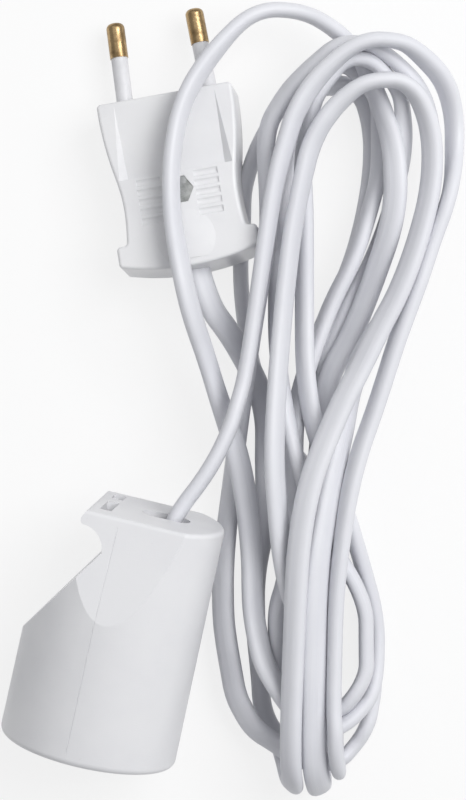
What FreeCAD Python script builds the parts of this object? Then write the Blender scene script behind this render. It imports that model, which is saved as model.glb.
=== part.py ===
import FreeCAD, Part
import math
import os
from FreeCAD import Placement, Rotation, Vector

os.makedirs("parts", exist_ok=True)

# All sizes are in millimetres and degrees.

# Fits
running = 0.05            # radial gap of the shutter on its pivot
seat = 0.08               # gap between a seated piece and its pocket
free = 0.35               # gap between pieces that must not rub

# Cutting blocks
past = 1.0                # how far a cut runs past the face that it opens
touch = 0.01              # edges closer to a face than this lie on it

# Plug pins, which also set the socket's hole spacing
pin_r = 2.0
pin_core_r = 1.5
pin_out = 18.6            # how far a pin stands out of the plug
pin_bare = 7.8            # brass length left bare at the tip
pin_spread = 9.3          # half the spacing at the plug's face
pin_lean = 1.66           # each pin leans in by this angle
tip_round = 1.2
sleeve_r = 1.8

# Socket, measured from the wide rim along its axis
socket_len = 52.7
rim_r = 19.05
end_r = 18.65
wall = 1.8
recess_r = 17.3
recess_deep = 5.0
plate_ledge = 1.0         # the ledge inside the housing that the face plate rests on
rim_round = 1.4
end_round = 1.0
end_wall = 3.0
flat_half = 13.95         # half depth over the front and back flats at the narrow end
flat_slope = 0.222        # how much the half depth grows for each millimetre towards the rim
end_to_shoulder = 7.7     # from the cord's end down to the shoulder's top
shoulder_low = (-19.0, 22.4)
shoulder_top = (-3.9, socket_len - end_to_shoulder)
notch_mid = (-5.0, 4.9)   # this and the lip's points are measured down from the cord's end
lip_low = (-8.9, 2.9)
lip_tip = (-9.8, 2.1)
lip_top = (-9.6, 1.2)
lip_slope = 1.0           # how far the lip leans in above its tip
cord_w = 6.0              # the cord leaves this far to the right of the axis
seam_at = -2.0            # the parting line is this far from the axis
seam_wide = 0.2
seam_deep = 0.12
mouth_half = 5.2
mouth_r = 3.0
window_left = -7.1
window_right = -4.6
window_spans = ((-8.6, 2.4), (6.2, 11.2))
window_deep = 5.2
window_slot = 1.9         # height of the slot at a window's foot, open to the inside
arm_thick = 1.4
hook_gap = 0.3            # from a hook's top to the slot's top
arm_spans = ((-8.0, -1.7), (6.6, 10.8))

# Socket insides
plate_thick = 2.5
entry_r = 2.5
entry_bevel = 0.6
shutter_r = 13.0
shutter_thick = 1.5
shutter_gap = 0.3
shutter_hole_r = 2.8
shutter_turn = 40.0
pivot_r = 2.0
carrier_top = 30.0
contact_r = 3.1
contact_bore_r = 2.1
contact_slit = 0.8
contact_lift = 0.2        # the sleeve starts this far above the carrier's lower face
contact_top = 24.2
slit_end = 2.0            # the slit stops this far below the block
block_side = 6.0
contact_floor = 0.6       # brass left between the pin's bore and the block
block_high = 4.4
core_deep = 1.5           # how far a core's hole runs past the terminal screw's axis
pocket_spans = ((-11.5, -4.0), (4.0, 11.5))
pocket_left = -1.9
pocket_right = 4.2
pocket_roof = 3.0
tower_size = 5.5          # height of the tower that holds the cord clamp
tower_room = 5.0          # from the tower to the cord's end of the socket
tower_high = socket_len - tower_room
tower_low = tower_high - tower_size
sheath_over = 0.6         # how far the sheath reaches past the tower
socket_sheath_end = tower_low - sheath_over
screw_r = 1.25
screw_head_r = 2.1
screw_head = 1.5
slot_wide = 0.6
slot_deep = 0.5
clamp_pitch = 4.6         # half the spacing of the clamp screws
clamp_thick = 1.8
clamp_wide = 3.4
clamp_foot = 3.0          # half the opening between the bar's feet
clamp_lift = 0.2          # how far the feet reach past the cord's axis
clamp_bite = 6.0          # how far the clamp's screws reach past the cord's axis
tower_half = 8.0
tower_back = 7.6
core_r = 1.0
core_off = 1.05           # a core's distance from the cord's axis
core_straight = 2.6       # a core's straight run at either end inside the socket

# Plug, measured from the pin face towards the cord
plug_half = 6.9
flange_low = 31.4
flange_top = 38.1         # at the cord; the bow takes it back towards the ends
flange_half = 15.3
flange_bow = 2.2          # how much further the flange reaches at the cord than at its ends
plug_sides = ((14.8, 0.0), (14.6, 7.0), (13.7, 14.0), (12.7, 19.5), (12.4, 24.0), (12.6, 28.0), (13.0, 31.4))
plug_wall = 1.6
face_wall = 2.0
plug_round = 0.7
plug_corner = 0.9
scoop_start = 1.0
scoop_end = 17.3
scoop_deep = 1.5
scoop_narrow = 11.0
scoop_wide = 10.6
scoop_spread = 1.2        # how much wider the scoop grows for each millimetre of its height
nut_at = 21.4
nut_flat = 5.5
nut_thick = 2.4
nut_pocket = 2.7
bolt_r = 1.5
bolt_room = 0.1
bolt_head_r = 2.9
bolt_sink = 1.7           # from the back shell's face down to the underside of the head
bolt_short = 0.6          # the bolt ends this far below the front shell's face
boss_r = 4.2
boss_waist_r = 2.6
boss_waist = 3.2
grip_near = 3.6
grip_far = 8.9
grip_start = 18.6
grip_pitch = 2.1
grip_r = 0.9              # each grip line is a trough cut by a rod of this radius
grip_deep = 0.4
grip_count = 5
bulge_r = 40.0
bulge_at = 32.0
bulge_rise = 0.5
bulge_end = 1.6           # the mound stops this far before the flange's middle
pin_block = 5.8
pin_block_start = 2.12
pin_block_end = 11.0
pin_screw_at = 6.9
cradle_at = (2.6, 9.6)
cradle_thick = 1.2
cradle_half = 4.3
plug_clamp_at = 29.2
plug_clamp_pitch = 5.4
plug_clamp_half = 7.6
plug_clamp_foot = 3.4
plug_clamp_wide = 3.2
plug_clamp_thick = 1.5
plug_clamp_bite = 3.5     # how far the clamp's screws reach past the cord's axis
clamp_post_r = 2.6
saddle_rise = 1.0         # the saddle's rib is taller than the cord's side by this, then hollowed for it
sheath_end = 27.2
plug_core_straight = (1.8, 3.2)   # a core's straight run at the cord and at the pin's block
plug_core_wide = 6.8      # a core passes the bolt this far from the axis
plug_core_turn = 0.6      # and this far before the bolt

# Cord
cord_r = 2.1
belly_climb = 0.6         # share of its neighbours' climb that a belly keeps
steep = 0.35              # above this climb a belly runs level
socket_lead_out = 1.5     # straight run out of the socket
plug_lead_out = 6.5       # straight run out of the plug
socket_lead_in = 8.0      # straight run into the hank, at the socket's lead
plug_lead_in = 7.0        # straight run into the hank, at the plug's lead
gap_step = 0.8            # distance between the places at which gaps are measured
gap_skip = 14.0           # places nearer than this along the cord are one bend
gap_cell = 5.0

# Where the socket and the plug lie
socket_rim_at = (-5.45, -24.55, 18.64)
socket_aim = (-12.5, 8.5, -90.0, -5.5)
plug_face_at = (11.45, 114.95, 8.2)
plug_aim = (9.2, -7.0, 90.0, 5.5)

beyond = rim_r + flange_half      # farther from an axis than any rigid piece reaches


def aimed(place, aim):
    """A placement: first the roll about the piece's own axis, then laid down, raised and turned."""
    turn = Rotation(Vector(0, 0, 1), aim[0])
    turn = turn.multiply(Rotation(Vector(1, 0, 0), aim[1]))
    turn = turn.multiply(Rotation(Vector(1, 0, 0), aim[2]))
    turn = turn.multiply(Rotation(Vector(0, 0, 1), aim[3]))
    return Placement(Vector(*place), turn)


socket_place = aimed(socket_rim_at, socket_aim)
plug_place = aimed(plug_face_at, plug_aim)


def box(x0, x1, y0, y1, z0, z1):
    return Part.makeBox(x1 - x0, y1 - y0, z1 - z0, Vector(x0, y0, z0))


def rod(r, z0, z1, x=0.0, y=0.0):
    return Part.makeCylinder(r, z1 - z0, Vector(x, y, z0))


def rod_along(r, start, way, length):
    return Part.makeCylinder(r, length, start, way)


def polygon(points):
    return Part.Face(Part.makePolygon([Vector(*p) for p in points] + [Vector(*points[0])]))


def across_depth(points, y0, y1):
    """A shape drawn in the width and length plane, carried through the depth."""
    return polygon([(x, y0, z) for x, z in points]).extrude(Vector(0, y1 - y0, 0))


def across_width(points, x0, x1):
    """A shape drawn in the depth and length plane, carried across the width."""
    return polygon([(x0, y, z) for y, z in points]).extrude(Vector(x1 - x0, 0, 0))


def screw(r, head_r, head, start, way, length):
    """A round-headed screw: start is under the head, way points from the head to the tip."""
    shank = rod_along(r, start, way, length)
    top = rod_along(head_r, start - way * head, way, head)
    slot = rod_along(head_r + past, start - way * (head + past), way, past + slot_deep)
    side = way.cross(Vector(0, 0, 1))
    if side.Length < touch:
        side = Vector(1, 0, 0)
    bar = Part.makeBox(slot_wide, head_r * 4, head_r * 4, Vector(-slot_wide / 2, -head_r * 2, -head_r * 2))
    bar.Placement = Placement(start - way * head, Rotation(Vector(1, 0, 0), side))
    return shank.fuse(top).cut(slot.common(bar)).removeSplitter()


def save(name, shape, place=None):
    if place is not None:
        shape = shape.copy()
        shape.Placement = place.multiply(shape.Placement)
    solids = shape.Solids
    volume = sum(s.Volume for s in solids)
    print("%-22s solids %d valid %s volume %9.1f" % (name, len(solids), shape.isValid(), volume))
    out = solids[0] if len(solids) == 1 else Part.makeCompound(solids)
    out.exportStep("parts/" + name + ".step")
    return out


# Socket

def socket_radius(u):
    return rim_r - (rim_r - end_r) * u / socket_len


def socket_form(inset, low, high):
    """The socket's outline drawn in by the inset, between two heights, with its flats and its shoulder."""
    low_r = socket_radius(low) - inset
    high_r = socket_radius(high) - inset
    body = Part.makeCone(low_r, high_r, high - low, Vector(0, 0, low))
    near = flat_half + (socket_len - low) * flat_slope - inset
    far = flat_half + (socket_len - high) * flat_slope - inset
    for side in (-1, 1):
        outline = [(side * near, low), (side * far, high), (side * beyond, high), (side * beyond, low)]
        body = body.cut(across_width(outline, -beyond, beyond))
    return body


def shoulder_cut():
    """The open corner on the left: a straight shoulder, a hollow notch and a rounded lip over it."""
    def at(x, z):
        return Vector(x, -beyond, z)

    def below_end(x, drop):
        return at(x, socket_len - drop)
    top = below_end(lip_top[0] + lip_slope, -past)
    corner = below_end(-beyond, -past)
    foot = at(-beyond, shoulder_low[1])
    edges = [
        Part.makeLine(at(*shoulder_low), at(*shoulder_top)),
        Part.Arc(at(*shoulder_top), below_end(*notch_mid), below_end(*lip_low)).toShape(),
        Part.Arc(below_end(*lip_low), below_end(*lip_tip), below_end(*lip_top)).toShape(),
        Part.makeLine(below_end(*lip_top), top),
        Part.makeLine(top, corner),
        Part.makeLine(corner, foot),
        Part.makeLine(foot, at(*shoulder_low)),
    ]
    return Part.Face(Part.Wire(edges)).extrude(Vector(0, 2 * beyond, 0))


shoulder_run = shoulder_top[0] - shoulder_low[0]
shoulder_rise = shoulder_top[1] - shoulder_low[1]
shoulder_size = math.hypot(shoulder_run, shoulder_rise)


def inner_corner(inset, top):
    """What the cavity loses on the left: the shoulder's line moved in by the inset, then straight up."""
    across = inset * shoulder_rise / shoulder_size
    down = inset * shoulder_run / shoulder_size
    high = (shoulder_top[0] + across, shoulder_top[1] - down)
    lower = (2 * shoulder_low[0] - shoulder_top[0] + across, 2 * shoulder_low[1] - shoulder_top[1] - down)
    far = lower[0] - past
    return across_depth([lower, high, (high[0], top), (far, top), (far, lower[1])], -beyond, beyond)


cavity_low = recess_deep + plate_thick
cavity_top = socket_len - end_wall
cavity_left = shoulder_top[0] + wall * shoulder_rise / shoulder_size
cavity_r = recess_r - plate_ledge
carrier_low = cavity_low + 2 * shutter_gap + shutter_thick
clamp_at = (tower_low + tower_high) / 2
arm_left = cavity_left + seat
arm_right = arm_left + arm_thick
clamp_half = cord_w - arm_right - seat      # the bar just clears the arms
slot_low = socket_len - window_deep
hook_high = slot_low + window_slot - hook_gap


def socket_housing():
    body = socket_form(0, 0, socket_len).cut(shoulder_cut())
    rim = [e for e in body.Edges if e.BoundBox.ZMax < touch]
    body = body.makeFillet(rim_round, rim)
    top = [e for e in body.Edges if e.BoundBox.ZMin > socket_len - touch and e.Length > end_to_shoulder]
    body = body.makeFillet(end_round, top)
    inside = socket_form(wall, cavity_low - past, cavity_top).cut(inner_corner(wall, cavity_top + past))
    inside = inside.common(rod(cavity_r, cavity_low - past, cavity_top))
    body = body.cut(inside).cut(rod(recess_r, -past, cavity_low))
    body = body.cut(cord_mouth()).cut(seam())
    for y0, y1 in window_spans:
        body = body.cut(box(window_left, window_right, y0, y1, slot_low, socket_len + past))
        body = body.cut(box(window_left, cavity_left + past, y0, y1, slot_low, slot_low + window_slot))
    return body.removeSplitter()


def cord_mouth():
    """The long round-ended opening that the cord leaves through."""
    left = cord_w - mouth_half + mouth_r
    right = cord_w + mouth_half - mouth_r
    low = cavity_top - past
    high = socket_len + past
    mouth = rod(mouth_r, low, high, left).fuse(rod(mouth_r, low, high, right))
    return mouth.fuse(box(left, right, -mouth_r, mouth_r, low, high)).removeSplitter()


def seam():
    """The mould's parting line: a fine groove down the front, along the axis."""
    skin = socket_form(0, rim_round + past, socket_len - end_round - past)
    skin = skin.cut(socket_form(seam_deep, rim_round, socket_len - end_round))
    return skin.common(box(seam_at, seam_at + seam_wide, -beyond, 0, 0, socket_len))


def face_plate():
    plate = rod(recess_r - seat, recess_deep, cavity_low)
    for x in (-pin_spread, pin_spread):
        plate = plate.cut(rod(entry_r, recess_deep - past, cavity_low + past, x))
        bevel = Part.makeCone(entry_r + entry_bevel, entry_r, entry_bevel, Vector(x, 0, recess_deep))
        plate = plate.cut(bevel)
    pivot = rod(pivot_r, recess_deep + plate_thick / 2, carrier_low)
    return plate.fuse(pivot).removeSplitter()


def shutter():
    low = cavity_low + shutter_gap
    high = low + shutter_thick
    disc = rod(shutter_r, low, high).cut(rod(pivot_r + running, low - past, high + past))
    for side in (0, 180):
        angle = math.radians(side - shutter_turn)
        x = pin_spread * math.cos(angle)
        y = pin_spread * math.sin(angle)
        disc = disc.cut(rod(shutter_hole_r, low - past, high + past, x, y))
    return disc


def contact_carrier():
    body = socket_form(wall + seat, carrier_low, carrier_top)
    body = body.cut(inner_corner(wall + seat, carrier_top + past))
    body = body.common(rod(cavity_r - seat, carrier_low, carrier_top))
    # pockets for the contacts and their blocks
    half = block_side / 2 + seat
    for x in (-pin_spread, pin_spread):
        body = body.cut(rod(contact_r + seat, carrier_low - past, carrier_top + past, x))
        body = body.cut(box(x - half, x + half, -half, half, contact_top - seat, carrier_top + past))
        body = body.cut(rod_along(screw_head_r + free, Vector(x, -half, contact_top + block_high / 2),
                                  Vector(0, -1, 0), beyond))
    # moulded pockets, front and back, open towards the shutter
    for y0, y1 in pocket_spans:
        body = body.cut(box(pocket_left, pocket_right, y0, y1, carrier_low - past, carrier_top - pocket_roof))
    # tower that holds the cord clamp
    left = cord_w - tower_half
    right = cord_w + tower_half
    tower = box(left, right, cord_r, tower_back, carrier_top - past, tower_high)
    tower = tower.fuse(box(left, cord_w - clamp_foot, clamp_lift, tower_back, tower_low, tower_high))
    tower = tower.fuse(box(cord_w + clamp_foot, right, clamp_lift, tower_back, tower_low, tower_high))
    tower = tower.common(socket_form(wall + seat, carrier_top - past, tower_high))
    tower = tower.cut(rod(cord_r, carrier_top - 2 * past, tower_high + past, cord_w))
    for side in (-1, 1):
        spot = Vector(cord_w + side * clamp_pitch, 0, clamp_at)
        tower = tower.cut(rod_along(screw_r, spot, Vector(0, 1, 0), clamp_bite + free))
    body = body.fuse(tower)
    for x in (-pin_spread, pin_spread):
        block_room = box(x - half, x + half, -half, half, contact_top - seat, contact_top + block_high + seat)
        body = body.cut(block_room)
    # two sprung arms whose hooks sit in the windows
    hook_left = window_left + free
    hook_low = hook_high - arm_thick
    for (y0, y1), (hook0, hook1) in zip(arm_spans, window_spans):
        body = body.fuse(box(arm_left, arm_right, y0, y1, carrier_top - past, hook_high))
        body = body.fuse(box(hook_left, arm_right, hook0 + free, hook1 - free, hook_low, hook_high))
    return body.removeSplitter()


def contact_sleeve(x):
    """A slit brass tube with a square block for the core and its screw."""
    sleeve = rod(contact_r, carrier_low + contact_lift, contact_top, x)
    sleeve = sleeve.cut(rod(contact_bore_r, 0, contact_top - contact_floor, x))
    out = contact_r + past if x < 0 else -contact_r - past
    x0 = min(x, x + out)
    x1 = max(x, x + out)
    slit = box(x0, x1, -contact_slit / 2, contact_slit / 2, 0, contact_top - slit_end)
    half = block_side / 2
    block = box(x - half, x + half, -half, half, contact_top, contact_top + block_high)
    middle = contact_top + block_high / 2
    block = block.cut(rod_along(screw_r, Vector(x, -half - past, middle), Vector(0, 1, 0), half + past))
    block = block.cut(rod(core_r, middle - core_deep, contact_top + block_high + past, x))
    return sleeve.cut(slit).fuse(block).removeSplitter()


def socket_terminal_screws():
    half = block_side / 2
    middle = contact_top + block_high / 2
    made = []
    for x in (-pin_spread, pin_spread):
        made.append(screw(screw_r, screw_head_r, screw_head, Vector(x, -half, middle), Vector(0, 1, 0),
                          half - core_r))
    return Part.makeCompound(made)


def socket_cord_clamp():
    low = clamp_at - clamp_wide / 2
    high = clamp_at + clamp_wide / 2
    bar = box(cord_w - clamp_half, cord_w + clamp_half, -cord_r - clamp_thick, -cord_r, low, high)
    bar = bar.fuse(box(cord_w - clamp_half, cord_w - clamp_foot, -cord_r, clamp_lift, low, high))
    bar = bar.fuse(box(cord_w + clamp_foot, cord_w + clamp_half, -cord_r, clamp_lift, low, high))
    for side in (-1, 1):
        spot = Vector(cord_w + side * clamp_pitch, -beyond, clamp_at)
        bar = bar.cut(rod_along(screw_r, spot, Vector(0, 1, 0), 2 * beyond))
    return bar.removeSplitter()


def socket_clamp_screws():
    top = -cord_r - clamp_thick
    made = []
    for side in (-1, 1):
        start = Vector(cord_w + side * clamp_pitch, top, clamp_at)
        made.append(screw(screw_r, screw_head_r, screw_head, start, Vector(0, 1, 0), clamp_bite - top))
    return Part.makeCompound(made)


# Plug

def plug_outline(inset, low, high):
    """The waisted sides as one smooth curve on each hand, closed at the pin face and at the flange."""
    right = [Vector(x - inset, 0, z) for x, z in plug_sides]
    left = [Vector(-p.x, 0, p.z) for p in reversed(right)]
    curve_right = Part.BSplineCurve()
    curve_right.interpolate(right)
    curve_left = Part.BSplineCurve()
    curve_left.interpolate(left)
    edges = [curve_right.toShape(), Part.makeLine(right[-1], left[0]), curve_left.toShape(),
             Part.makeLine(left[-1], right[0])]
    face = Part.Face(Part.Wire(edges))
    face.translate(Vector(0, low, 0))
    return face.extrude(Vector(0, high - low, 0))


def flange_slab(deep):
    """The slab that the plug is pulled out by; its cord side is bowed."""
    ends = flange_top - flange_bow
    bow = Part.Arc(Vector(flange_half, 0, ends), Vector(0, 0, flange_top), Vector(-flange_half, 0, ends))
    edges = [
        Part.makeLine(Vector(-flange_half, 0, flange_low), Vector(flange_half, 0, flange_low)),
        Part.makeLine(Vector(flange_half, 0, flange_low), Vector(flange_half, 0, ends)),
        bow.toShape(),
        Part.makeLine(Vector(-flange_half, 0, ends), Vector(-flange_half, 0, flange_low)),
    ]
    return Part.Face(Part.Wire(edges)).extrude(Vector(0, deep, 0))


def plug_half_shell(side):
    """One shell; side is 1 for the front, towards the nut, and -1 for the back."""
    skin = plug_half - plug_wall / 2
    # where the flange stands out little, its corners are rounded less
    corner_r = min(plug_corner, 0.4 * (flange_half - plug_sides[-1][0]))
    body = plug_outline(0, 0, plug_half).fuse(flange_slab(plug_half)).removeSplitter()
    corners = [e for e in body.Edges if e.BoundBox.XLength < touch and e.BoundBox.ZLength < touch]
    body = body.makeFillet(corner_r, corners)
    front = [e for e in body.Edges if e.BoundBox.YMin > plug_half - touch]
    body = body.makeFillet(min(plug_round, 0.78 * corner_r), front)
    mound = Part.makeSphere(bulge_r, Vector(0, plug_half + bulge_rise - bulge_r, bulge_at))
    body = body.fuse(mound.common(box(-beyond, beyond, skin, beyond, 0, flange_top - bulge_end)))
    inside = plug_outline(plug_wall, -past, plug_half - plug_wall)
    inside = inside.common(box(-beyond, beyond, -past, plug_half, face_wall, flange_low))
    body = body.cut(inside)
    # the waisted post round the assembly screw, and the ribs that cradle the pins' blocks
    post = rod_along(boss_waist_r, Vector(0, 0, nut_at), Vector(0, 1, 0), skin)
    post = post.fuse(rod_along(boss_r, Vector(0, boss_waist, nut_at), Vector(0, 1, 0), skin - boss_waist))
    body = body.fuse(post)
    for x in (-pin_spread, pin_spread):
        for z0 in cradle_at:
            rib = box(x - cradle_half, x + cradle_half, pin_block / 2, skin, z0, z0 + cradle_thick)
            body = body.fuse(rib)
    if side < 0:
        body = body.fuse(box(-plug_clamp_foot, plug_clamp_foot, cord_r - saddle_rise, skin,
                             plug_clamp_at - plug_clamp_wide / 2, plug_clamp_at + plug_clamp_wide / 2))
    # channels
    body = body.cut(rod(cord_r, sheath_end, flange_top + past))
    for x, lean in ((-pin_spread, 1), (pin_spread, -1)):
        body = body.cut(pin_rod(pin_core_r, x, lean, past, face_wall + past))
    body = body.cut(rod_along(bolt_r + bolt_room, Vector(0, -past, nut_at), Vector(0, 1, 0), beyond))
    return body


def pin_way(lean):
    """The direction in which a pin leaves the plug's face."""
    angle = math.radians(pin_lean)
    return Vector(lean * math.sin(angle), 0, -math.cos(angle))


def pin_rod(r, x, lean, out0, in1):
    """A rod on a pin's axis, from in1 inside the plug to out0 outside the face."""
    way = pin_way(lean)
    start = Vector(x, 0, 0) - way * in1
    return rod_along(r, start, way, in1 + out0)


def scoop():
    """The thumb's hollow: it deepens from the pin face to a step, and its sides lean outwards."""
    low = plug_half - scoop_deep
    top = plug_half + past
    near = scoop_narrow + scoop_spread * past
    far = scoop_wide + scoop_spread * (past + scoop_deep)
    start = [(-scoop_narrow, plug_half), (scoop_narrow, plug_half), (near, top), (-near, top)]
    end = [(-scoop_wide, low), (scoop_wide, low), (far, top), (-far, top)]
    wires = []
    for points, z in ((start, scoop_start), (end, scoop_end)):
        corners = [Vector(x, y, z) for x, y in points]
        wires.append(Part.makePolygon(corners + corners[:1]))
    return Part.makeLoft(wires, True, True)


def plug_front_shell():
    body = plug_half_shell(1)
    body = body.cut(scoop())
    body = body.cut(across_depth(hexagon(nut_flat / 2 + seat), plug_half - nut_pocket, beyond))
    for side in (-1, 1):
        for i in range(grip_count):
            start = Vector(side * grip_near, plug_half - grip_deep + grip_r, grip_start + i * grip_pitch)
            body = body.cut(rod_along(grip_r, start, Vector(side, 0, 0), grip_far - grip_near))
    return body.removeSplitter()


def plug_back_shell():
    body = plug_half_shell(-1)
    under_head = Vector(0, plug_half - bolt_sink, nut_at)
    body = body.cut(rod_along(bolt_head_r + seat, under_head, Vector(0, 1, 0), bolt_sink + past))
    for side in (-1, 1):
        foot = Vector(side * plug_clamp_pitch, 0, plug_clamp_at)
        post = rod_along(clamp_post_r, foot, Vector(0, 1, 0), plug_half - plug_wall / 2)
        body = body.fuse(post)
        body = body.cut(rod_along(screw_r, foot, Vector(0, 1, 0), plug_clamp_bite))
    return body.mirror(Vector(0, 0, 0), Vector(0, 1, 0)).removeSplitter()


def plug_pin(x, lean):
    """A brass pin with its square terminal block inside the plug."""
    way = pin_way(lean)
    core = pin_rod(pin_core_r, x, lean, pin_out - pin_bare, pin_block_end)
    tip = pin_rod(pin_r, x, lean, pin_out, -(pin_out - pin_bare))
    middle = pin_bare / 2 - pin_out
    tip = tip.makeFillet(tip_round, [e for e in tip.Edges if e.Closed and e.BoundBox.Center.z < middle])
    half = pin_block / 2
    block = Part.makeBox(pin_block, pin_block, pin_block_end - pin_block_start,
                         Vector(-half, -half, pin_block_start))
    block.Placement = Placement(Vector(x, 0, 0), Rotation(Vector(0, 0, -1), way))
    pin = core.fuse(tip).fuse(block)
    back = pin_block_end + past
    pin = pin.cut(rod_along(core_r, Vector(x, 0, 0) - way * back, way, back - pin_screw_at))
    spot = Vector(x, 0, 0) - way * pin_screw_at
    pin = pin.cut(rod_along(screw_r, spot, Vector(0, 1, 0), half + past))
    return pin.removeSplitter()


def plug_terminal_screws():
    made = []
    for x, lean in ((-pin_spread, 1), (pin_spread, -1)):
        spot = Vector(x, pin_block / 2, 0) - pin_way(lean) * pin_screw_at
        made.append(screw(screw_r, screw_head_r, screw_head, spot, Vector(0, -1, 0), pin_block / 2 - core_r))
    return Part.makeCompound(made)


def pin_sleeve(x, lean):
    sleeve = pin_rod(sleeve_r, x, lean, pin_out - pin_bare, past)
    sleeve = sleeve.cut(pin_rod(pin_core_r, x, lean, pin_out, past))
    return sleeve.common(box(-beyond, beyond, -beyond, beyond, -beyond, 0))


def plug_cord_clamp():
    z0 = plug_clamp_at - plug_clamp_wide / 2
    z1 = plug_clamp_at + plug_clamp_wide / 2
    bar = box(-plug_clamp_half, plug_clamp_half, cord_r, cord_r + plug_clamp_thick, z0, z1)
    bar = bar.fuse(box(-plug_clamp_half, -plug_clamp_foot, 0, cord_r, z0, z1))
    bar = bar.fuse(box(plug_clamp_foot, plug_clamp_half, 0, cord_r, z0, z1))
    for side in (-1, 1):
        spot = Vector(side * plug_clamp_pitch, -past, plug_clamp_at)
        bar = bar.cut(rod_along(screw_r, spot, Vector(0, 1, 0), beyond))
    return bar.removeSplitter()


def plug_clamp_screws():
    made = []
    top = cord_r + plug_clamp_thick
    for side in (-1, 1):
        start = Vector(side * plug_clamp_pitch, top, plug_clamp_at)
        made.append(screw(screw_r, screw_head_r, screw_head, start, Vector(0, -1, 0), top + plug_clamp_bite))
    return Part.makeCompound(made)


def plug_assembly_screw():
    low = bolt_sink - plug_half
    length = plug_half - bolt_short - low
    return screw(bolt_r, bolt_head_r, screw_head, Vector(0, low, nut_at), Vector(0, 1, 0), length)


def hexagon(half):
    """A hexagon round the bolt's axis; half is half its width over the flats."""
    reach = half / math.cos(math.pi / 6)
    corners = []
    for i in range(6):
        angle = math.radians(60 * i)
        corners.append((reach * math.cos(angle), nut_at + reach * math.sin(angle)))
    return corners


def plug_nut():
    low = plug_half - nut_pocket
    nut = across_depth(hexagon(nut_flat / 2), low, low + nut_thick)
    return nut.cut(rod_along(bolt_r, Vector(0, 0, nut_at), Vector(0, 1, 0), beyond))


# Cord

def turn_arc(a, corner, b):
    """The arc from a to b whose end directions meet at the corner, and its radius."""
    first = (corner - a).normalize()
    last = (b - corner).normalize()
    turn = first.getAngle(last)
    if turn < 0.002:
        return Part.makeLine(a, b), None
    r = (corner - a).Length / math.tan(turn / 2)
    inward = (last - first * (last * first)).normalize()
    middle = a + inward * r
    return Part.Arc(a, middle + (corner - middle).normalize() * r, b).toShape(), r


def bent(points):
    """Straight runs joined by tangent arcs, each arc as wide as nine tenths of its shorter run allows."""
    edges = []
    radii = []
    at = points[0]
    for i in range(1, len(points) - 1):
        back = points[i - 1] - points[i]
        ahead = points[i + 1] - points[i]
        reach = 0.45 * min(back.Length, ahead.Length)
        a = points[i] + back.normalize() * reach
        b = points[i] + ahead.normalize() * reach
        edges.append(Part.makeLine(at, a))
        arc, r = turn_arc(a, points[i], b)
        edges.append(arc)
        if r:
            radii.append(r)
        at = b
    edges.append(Part.makeLine(at, points[-1]))
    return edges, radii


def tube(name, edges, r, radii):
    """A round tube along the edges; prints its tightest bend and its volume against section times length."""
    wire = Part.Wire(edges)
    start = edges[0].valueAt(edges[0].FirstParameter)
    way = edges[0].tangentAt(edges[0].FirstParameter)
    solid = wire.makePipeShell([Part.Wire(Part.makeCircle(r, start, way))], True, False)
    share = solid.Volume / (math.pi * r * r * wire.Length)
    print("%s: length %.1f, tightest bend %.1f, volume against section times length %.4f"
          % (name, wire.Length, min(radii), share))
    return solid


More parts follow.
